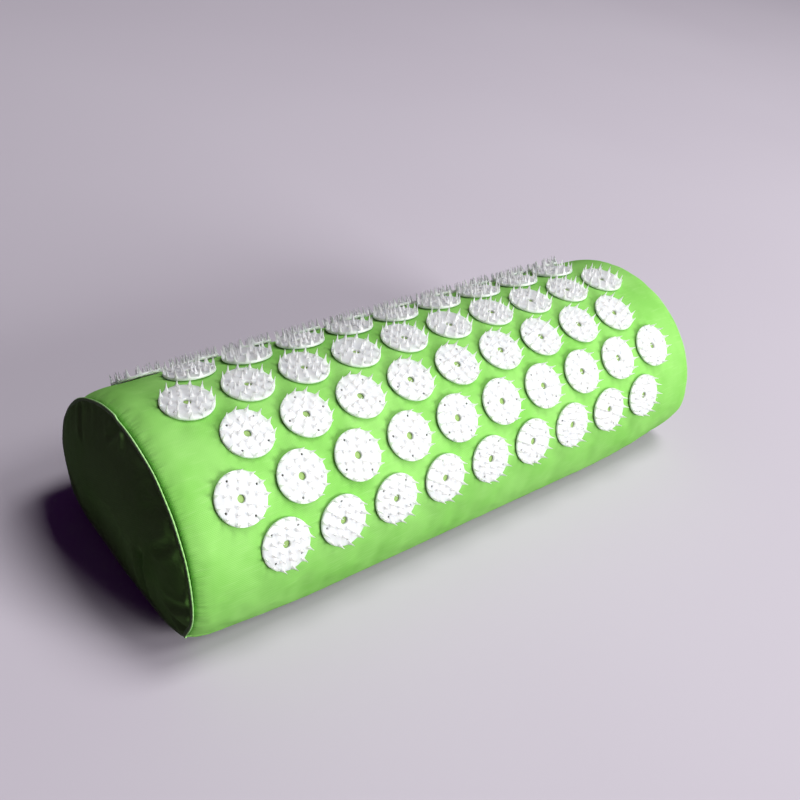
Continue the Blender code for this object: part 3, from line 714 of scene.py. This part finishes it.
def tension(mesh, pins, pull, loose=1.0):
    # a short simulation lets the cloth find its own soft waves between the places that hold it;
    # pull holds its pressure, its slack and the cap on its moves
    start = np.array([v.co[:] for v in mesh.vertices])
    test = addObject("tensionTest", mesh.copy())
    group = test.vertex_groups.new(name="held")
    group.add([i for i, held in enumerate(pins) if held], 1.0, "REPLACE")
    cloth = addModifier(test, "CLOTH")
    for key, value in {**clothFeel, "shrink_min": pull["slack"],
                       "uniform_pressure_force": pull["pressure"]}.items():
        setattr(cloth.settings, key, value)
    cloth.settings.effector_weights.gravity = 0
    cloth.collision_settings.use_collision = False
    cloth.point_cache.frame_start = 1
    cloth.point_cache.frame_end = cover["frames"]
    for number in range(1, cover["frames"] + 1):
        bpy.context.scene.frame_set(number)
    end = np.array([v.co[:] for v in evaluatedMesh(test).vertices])
    bpy.data.objects.remove(test, do_unlink=True)
    bpy.context.scene.frame_set(1)
    move, cap = end - start, pull["cap"]
    length = np.linalg.norm(move, axis=1)
    move *= (loose * np.tanh(length / cap) * cap / np.maximum(length, 1e-9))[:, None]
    end = start + move
    end[:, 2] = np.maximum(end[:, 2], np.minimum(start[:, 2], 0.0001))   # it lies on the floor
    for vertex, place in zip(mesh.vertices, end):
        vertex.co = place


def addCloth(name, mesh, stands):
    piece = addPiece(name, mesh, cotton, stands=stands)
    addModifier(piece, "SOLIDIFY", thickness=cover["thickness"], offset=-1, use_quality_normals=True)
    addModifier(piece, "SUBSURF", levels=1, render_levels=1)
    return piece


def buildPanel(name, start, stop, seamAt, seed, stands):
    # the left end stops short of its seam, the right end is tucked into it
    xs = spread(-endX + pillow["play"], seamX - cover["tuck"], cover["cell"])
    places = spread(start, stop, cover["sideCell"])
    points, pins = clothGrid(xs, places, seamAt, seed)
    mesh = clothMesh(name, points, len(xs), len(places), [(x, place) for x in xs for place in places])
    tension(mesh, pins, cover)
    return addCloth(name, mesh, stands)


seamGap = pillow["seamRadius"] - pillow["play"]
frontRun = 2 * lineHalf - heel - seamGap
wrapCloth = buildPanel("wrap_cloth", -heel + seamGap, zipTop, -heel, 3.1, ("wrap_panel",))
baseCloth = buildPanel("base_cloth", zipFoot, frontRun, 2 * lineHalf - heel, 5.7, ("base_panel",))
print("wrap and base cloth done")


# End panels: puffed half-moons, gathered a little where they meet the seam

endPanel = {
    "across": 100, "up": 70, "topShare": 0.36,
    "roundness": 2.2, "crownWidth": 0.044,
    "cornerPuff": 0.42, "cornerReach": 0.042,        # the pulled low corners stay flatter
    "passes": 90, "middle": 0.45, "ringRadius": 0.06, "proud": 0.0002, "drawReach": 0.030,
    "calm": 0.003, "held": 0.0005,                   # no gather or crease this near to the seam
    "slack": -0.008, "pressure": 3.0, "cap": 0.0014, "gather": 0.0005, "gatherReach": 0.018,
}
# creases of each end: from and to (Y, Z), half width and depth, all in millimetres
leftCreases = (
    ((-31, 41), (-31, 12), 2.4, 4.2), ((3, 95), (7, 84), 2.0, 1.6), ((-3, 94), (-4, 86), 1.8, -1.0),
    ((-70, 38), (-54, 30), 2.1, 1.8), ((-68, 22), (-50, 20), 2.2, 2.2),
    ((-52, 66), (-43, 55), 2.2, 1.1), ((44, 78), (34, 66), 2.0, 1.2),
)
rightCreases = (
    ((-40, 80), (-32, 66), 1.8, 1.0), ((62, 40), (50, 36), 1.8, 1.1), ((20, 14), (17, 30), 1.5, 1.2),
    ((-64, 30), (-52, 27), 1.6, 0.9),
)
# a crease fades in and out over these shares of its length, with a low bank beside its valley
crease = {"fadeIn": (-0.3, 0.15), "fadeOut": (0.75, 1.3), "bank": 0.4, "bankAt": 2.2}


def creaseDepth(spot, creases):
    # how far the creases take a point in
    depth = 0.0
    for start, stop, width, deep in creases:
        start, stop = Vector(start) / 1000, Vector(stop) / 1000
        along = (spot - start).dot(stop - start) / (stop - start).length_squared
        if not crease["fadeIn"][0] < along < crease["fadeOut"][1]:
            continue
        away = (spot - start.lerp(stop, along)).length / (width / 1000)
        fade = float(smooth(*crease["fadeIn"], along) * (1 - smooth(*crease["fadeOut"], along)))
        bank = crease["bank"] * np.exp(-(away - crease["bankAt"]) ** 2)
        depth += deep / 1000 * fade * (np.exp(-away ** 2) - bank)
    return depth


def halfMoonGrid(side):
    # grid of (Y, Z) points that fills the section: base, front and rear sides, and the arch
    top = heel * endPanel["topShare"]
    across, up = np.linspace(0, 1, endPanel["across"]), np.linspace(0, 1, endPanel["up"])
    edgeOf = lambda runs: skin(side * seamX, around(runs),
                               endInset(side, "panelInset", around(runs)))
    sides = [edgeOf(runs) for runs in (
        2 * lineHalf - heel + (2 * heel - 2 * lineHalf) * across, -top + 2 * top * across,
        -heel + (heel - top) * up, heel - (heel - top) * up)]
    base, arch, front, rear = (points[:, 1:] for points in sides)
    a, u = across[None, :, None], up[:, None, None]
    grid = (1 - u) * base[None] + u * arch[None] + (1 - a) * front[:, None] + a * rear[:, None]
    corners = ((1 - a) * (1 - u) * base[0] + a * (1 - u) * base[-1]
               + (1 - a) * u * arch[0] + a * u * arch[-1])
    return grid - corners, np.vstack(sides)


def buildEndPanel(name, side, seed, creases, stands):
    grid, edge = halfMoonGrid(side)
    rows, columns = grid.shape[:2]
    flatPoints = grid.reshape(-1, 2)
    gaps = np.sqrt(((flatPoints[:, None] - edge[None, :, 1:]) ** 2).sum(axis=2))
    edgeX = abs(float(skin(side * seamX, 0)[0]))
    toEdge, drawn = gaps.min(axis=1), edgeX - np.abs(edge[gaps.argmin(axis=1), 0])
    crown = 1 - np.clip(1 - toEdge / endPanel["crownWidth"], 0, 1) ** endPanel["roundness"]
    low = np.abs(flatPoints) - np.abs(skin(seamX, heel)[1:])
    toCorner = np.hypot(low[:, 0], low[:, 1]) / endPanel["cornerReach"]
    loose = endPanel["cornerPuff"] + (1 - endPanel["cornerPuff"]) * smooth(0, 1, toCorner)
    crown = (crown * loose).reshape(rows, columns)
    for _ in range(endPanel["passes"]):
        crown[1:-1, 1:-1] = (crown[:-2, 1:-1] + crown[2:, 1:-1] + crown[1:-1, :-2] + crown[1:-1, 2:]) / 4
    middle = np.array((0, pillow["height"] * endPanel["middle"]))
    points = []
    for spot, away, rise, draw in zip(flatPoints, toEdge, crown.reshape(-1), drawn):
        turn = atan2(*(spot - middle)) * endPanel["ringRadius"]
        calm = float(smooth(0, endPanel["calm"], away))
        fade = max(0, 1 - away / endPanel["gatherReach"]) * calm
        gather = waver(turn, 0, cover["gatherLength"], seed) * fade
        out = edgeX + endPanel["proud"] - draw * max(0, 1 - away / endPanel["drawReach"])
        out += endShape[side]["puff"] * rise
        points.append((side * (out + endPanel["gather"] * gather), *spot))
    mesh = clothMesh(name, points, rows, columns, [tuple(spot) for spot in flatPoints])
    tension(mesh, toEdge < endPanel["held"], endPanel, loose)
    for vertex, away in zip(mesh.vertices, toEdge):
        calm = float(smooth(0, endPanel["calm"], away))
        vertex.co.x -= side * creaseDepth(Vector(vertex.co.yz), creases) * calm
    return addCloth(name, mesh, stands)


leftEnd = buildEndPanel("left_end_cloth", -1, 11.3, leftCreases, ("end_panel_left",))
rightEnd = buildEndPanel("right_end_cloth", 1, 17.9, rightCreases, ("end_panel_right",))
print("end panels done")


# Foam core: a plain cut block inside the cover

foamBlock = {"inset": 0.0032, "endGap": 0.004, "zipChannel": 0.0030, "channelHalf": 0.0100,
             "channelFade": 1.6, "around": 90, "along": 30, "edge": 0.002}


def buildFoam():
    runs = np.linspace(-lineHalf, lineHalf, foamBlock["around"], endpoint=False)
    half = foamBlock["channelHalf"]
    channel = 1 - smooth(half, half * foamBlock["channelFade"], np.abs(runs - zipPlace))
    inset = foamBlock["inset"] + foamBlock["zipChannel"] * channel
    reach = endX - foamBlock["endGap"]
    points = [point for x in np.linspace(-reach, reach, foamBlock["along"])
              for point in skin(np.full(len(runs), x), runs, inset)]
    faces = gridFaces(foamBlock["along"], len(runs), closed=True, ends="capped")
    piece = addPiece("foam_block", makeMesh("foam_block", points, faces), foam,
                     stands=("foam_core",))
    addModifier(piece, "BEVEL", width=foamBlock["edge"], segments=2, limit_method="ANGLE")
    return piece


foamCore = buildFoam()
print("foam core done")


# Rolled seams

seam = {
    "sides": 12, "stitch": 0.0032, "pinch": 0.22, "wander": 0.00030, "step": 0.0008,
    "size": 0.72, "fin": 0.0013,                     # half width and half height of an end seam
    "frontSize": 0.6, "frontSink": 0.0008,
    "kinkAt": 0.0045, "kinkLength": 0.0035, "kinkStep": 0.0012, "kinkFade": 0.03,   # the left jog
    "swell": 0.12, "swellLength": 0.012, "driftLength": 0.02, "dipLength": 0.014,
    "floorGap": 0.00002,
}


def buildSeam(name, runs, pointAt, seed, size, ends, material, stands):
    points, spots = [], []
    for run in runs:
        pinch = seam["pinch"] * (0.5 + 0.5 * cos(2 * pi * run / seam["stitch"]))
        swell = seam["swell"] * ringWaver(run, seam["swellLength"], seed)
        radius = size * pillow["seamRadius"] * (1 - pinch + swell)
        for number in range(seam["sides"]):
            angle = 2 * pi * number / seam["sides"]
            points.append(pointAt(run, radius, angle))
            spots.append((run, angle * radius))
    faces = gridFaces(len(runs), seam["sides"], closed=True, ends=ends)
    mesh = makeMesh(name, points, faces, smoothAngle=180)
    addClothMap(mesh, spots)
    addPiece(name, mesh, material, stands=stands)


def buildEndSeam(name, side, seed, stands):
    def pointAt(run, radius, angle):
        shift = seam["wander"] * ringWaver(run, seam["driftLength"], seed + 3)
        jog = seam["kinkStep"] * float(smooth(0, seam["kinkLength"], run - seam["kinkAt"]))
        jog *= (side < 0) * float(1 - smooth(0, seam["kinkFade"], run - seam["kinkAt"]))
        inset = float(endInset(side, "seamIn", run)) - jog
        inset += seam["wander"] * ringWaver(run, seam["dipLength"], seed + 5)
        point = skin(side * seamX, run, inset - seam["fin"] * cos(angle))
        return point[0] + shift + radius * sin(angle), point[1], max(point[2], seam["floorGap"])

    count = ceil(2 * lineHalf / seam["step"])
    buildSeam(name, np.linspace(-lineHalf, lineHalf, count, endpoint=False), pointAt, seed,
              seam["size"], "joined", seamCottonPaintedHighlight, stands)


def frontPoint(x, radius, angle):
    sunk = pillow["seamInset"] + seam["frontSink"] - radius * cos(angle)
    return skin(x, radius * sin(angle) - heel, sunk)


buildEndSeam("left_edge_seam", -1, 21.0, ("end_seam_left",))
buildEndSeam("right_edge_seam", 1, 25.0, ("end_seam_right",))
frontReach = endX + pillow["play"]
buildSeam("front_edge_seam",
          np.linspace(-frontReach, frontReach, ceil(pillow["length"] / seam["step"])), frontPoint,
          31.0, seam["frontSize"], "capped", cotton, ("front_seam",))
print("seams done")


# Zip: twill tapes, nylon coils, topstitching; the slider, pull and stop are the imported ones

zipper = {
    "tapeThickness": 0.0007, "slit": 0.00045, "coilReach": 0.0028, "coilOut": 0.0009,
    "coilIn": 0.0012, "wire": 0.00030, "coilPitch": 0.0014, "coilEnd": 0.0010, "wireSides": 6,
    "stitchLength": 0.0024, "stitchGap": 0.0010, "stitchRadius": 0.00022, "stitchInset": 0.0022,
    "tapeEnd": 0.0006, "tapeOver": 0.0002, "tapeSunk": 0.00005, "tapeSteps": 9, "coilSteps": 10,
    "stitchSteps": 7, "stitchOut": 0.0001, "metalEdge": 0.00018,
}


def buildTape(name, side, stands):
    xs = spread(zipper["tapeEnd"] - seamX, seamX - zipper["tapeEnd"], cover["cell"])
    aways = np.linspace(zipper["slit"] + zipper["wire"] * 2, pillow["tapeWidth"] + zipper["tapeOver"],
                        zipper["tapeSteps"])
    points = [skin(x, zipPlace + side * away, zipper["tapeSunk"]) for x in xs for away in aways]
    mesh = clothMesh(name, points, len(xs), len(aways), [(x, away) for x in xs for away in aways])
    piece = addPiece(name, mesh, tape, stands=stands)
    addModifier(piece, "SOLIDIFY", thickness=zipper["tapeThickness"] - zipper["tapeSunk"], offset=-1)


def sweep(path, radius, sides):
    # open tube along a path, with points by parallel transport and closed ends
    path = [Vector(p) for p in path]
    points, normal = [], None
    for i, here in enumerate(path):
        ahead = (path[min(i + 1, len(path) - 1)] - path[max(i - 1, 0)]).normalized()
        if normal is None:
            normal = ahead.orthogonal().normalized()
        normal = (normal - ahead * normal.dot(ahead)).normalized()
        across = ahead.cross(normal)
        points += [here + (normal * cos(a) + across * sin(a)) * radius
                   for a in np.linspace(0, 2 * pi, sides, endpoint=False)]
    return points, gridFaces(len(path), sides, closed=True, ends="capped")


def buildCoil(name, side):
    low, high = zipper["slit"] + zipper["wire"], zipper["coilReach"] - zipper["wire"]
    top, bottom = -zipper["coilOut"] + zipper["wire"], zipper["coilIn"] - zipper["wire"]
    turns = int((pillow["length"] - 2 * zipper["coilEnd"]) / zipper["coilPitch"])
    path = []
    for step in range(turns * zipper["coilSteps"] + 1):
        angle = 2 * pi * step / zipper["coilSteps"]
        x = (step / zipper["coilSteps"] - turns / 2) * zipper["coilPitch"]
        away = (low + high) / 2 - (high - low) / 2 * cos(angle)
        inset = (top + bottom) / 2 + (bottom - top) / 2 * sin(angle)
        path.append(skin(x, zipPlace + side * away, inset))
    mesh = makeMesh(name, *sweep(path, zipper["wire"], zipper["wireSides"]), smoothAngle=180)
    addPiece(name, mesh, coil)


def buildTopstitch(name, place):
    points, faces = [], []
    pace = zipper["stitchLength"] + zipper["stitchGap"]
    count = int((pillow["length"] - 2 * pillow["drawLength"]) / pace)
    for number in range(count):
        middle = (number - (count - 1) / 2) * pace
        path = [skin(middle + share * zipper["stitchLength"] / 2, place,
                     -zipper["stitchRadius"] * (0.5 - share * share) - zipper["stitchOut"])
                for share in np.linspace(-1, 1, zipper["stitchSteps"])]
        joinUp(points, faces, *sweep(path, zipper["stitchRadius"], zipper["wireSides"]))
    mesh = makeMesh(name, points, faces)
    addClothMap(mesh, [(p[0], p[1]) for p in points])
    # the topstitches take the seam cloth, paler as a painted highlight
    addPiece(name, mesh, seamCottonPaintedHighlight)


buildTape("upper_tape", -1, ("zip_tape_upper",))
buildTape("lower_tape", 1, ("zip_tape_lower",))
buildCoil("upper_coil", -1)
buildCoil("lower_coil", 1)
buildTopstitch("upper_topstitch", zipTop - zipper["stitchInset"])
buildTopstitch("lower_topstitch", zipFoot + zipper["stitchInset"])
for name in ("zip_slider", "zip_pull", "zip_end_stop"):
    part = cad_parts[name]
    part.data.materials.clear()
    part.data.materials.append(zinc)
    addModifier(part, "BEVEL", width=zipper["metalEdge"], segments=2, limit_method="ANGLE")
print("zip done")


# Studio: pale floor, soft key from the front right, weak violet fill, and the photo's camera

studio = {
    "floor": "#c8c2cb", "floorShade": "#c1bac4", "bounce": "#453e49",
    "fillColour": "#b45edc", "fillPower": 0.052, "backdrop": "#cbc3ce", "distance": 3.0,
    "unevenScale": 2.2, "floorHalf": 4.0, "floorDrop": 0.0002, "aim": (0, 0, 0.05),
    # lamps: where each comes from, its width and height in metres, and its watts
    "lamps": {"window": ((0.38, -0.88, 0.29), (1.7, 1.2), 101),
              "side": ((0.36, -0.50, 0.79), (1.0, 1.0), 27),
              "top": ((0.33, -0.06, 0.94), (1.2, 1.2), 50)},
}
view = {
    "place": (-0.34594, -0.32802, 0.39137), "yaw": 45.683, "pitch": 35.801, "roll": 11.979,
    "lens": 43.878,
}


def buildFloor():
    # Pale backdrop cloth, ironed flat: matte, with a slow unevenness. What it sends back on to the
    # pillow is kept low, as in the photo, where the unlit end is nearly black.
    material, tree = newMaterial("pale backdrop cloth")
    uneven = texture(tree, "Noise", studio["unevenScale"], solidSpace(tree), Detail=2.0)
    pale = blend(tree, uneven, studio["floorShade"], studio["floor"])
    lit = addNode(tree, "BsdfDiffuse", links={"Color": pale})
    dim = addNode(tree, "BsdfDiffuse", {"Color": toLinear(studio["bounce"])})
    rays = addNode(tree, "LightPath").outputs
    direct = compute(tree, "MAXIMUM", rays["Is Camera Ray"], rays["Is Glossy Ray"])
    mixed = addNode(tree, "MixShader", links={
        0: compute(tree, "MAXIMUM", direct, rays["Is Transmission Ray"]),
        1: dim.outputs[0], 2: lit.outputs[0]})
    addNode(tree, "OutputMaterial", links={"Surface": mixed.outputs[0]})
    half = studio["floorHalf"]
    mesh = makeMesh("floor", [(-half, -half, 0), (half, -half, 0), (half, half, 0), (-half, half, 0)],
                    [(0, 1, 2, 3)])
    mesh.materials.append(material)
    floor = addObject("floor", mesh)
    floor.location.z = -studio["floorDrop"]


def buildLights():
    aim = Vector(studio["aim"])
    for name, (direction, size, power) in studio["lamps"].items():
        light = bpy.data.lights.new(name, "AREA")
        light.shape = "RECTANGLE"
        light.size, light.size_y = size
        light.energy = power
        lamp = addObject(name, light)
        lamp.location = aim + Vector(direction).normalized() * studio["distance"]
        lamp.rotation_mode = "QUATERNION"
        lamp.rotation_quaternion = (aim - lamp.location).to_track_quat("-Z", "Y")
    world = bpy.data.worlds.new("studio")
    tree = emptyTree(world)
    fill = addNode(tree, "Background", {"Color": toLinear(studio["fillColour"]),
                   "Strength": studio["fillPower"]})
    # the camera sees a pale wall beyond the floor
    wall = addNode(tree, "Background", {"Color": toLinear(studio["backdrop"])})
    rays = addNode(tree, "LightPath")
    seen = addNode(tree, "MixShader", links={0: rays.outputs["Is Camera Ray"],
                   1: fill.outputs[0], 2: wall.outputs[0]})
    addNode(tree, "OutputWorld", links={"Surface": seen.outputs[0]})
    bpy.context.scene.world = world


def buildCamera():
    yaw, pitch, roll = (radians(view[key]) for key in ("yaw", "pitch", "roll"))
    ahead = Vector((sin(yaw) * cos(pitch), cos(yaw) * cos(pitch), -sin(pitch)))
    right = Vector((cos(yaw), -sin(yaw), 0))
    up = right.cross(ahead)
    data = bpy.data.cameras.new("camera")
    data.lens = view["lens"]
    data.sensor_width = 36
    data.clip_start = 0.01
    camera = addObject("camera", data)
    axes = Matrix((right, up, -ahead)).transposed() @ Matrix.Rotation(roll, 3, "Z")
    camera.matrix_world = Matrix.Translation(view["place"]) @ axes.to_4x4()
    bpy.context.scene.camera = camera


buildFloor()
buildLights()
buildCamera()
bpy.context.scene.view_settings.view_transform = "Standard"
bpy.context.view_layer.update()
print("studio done")
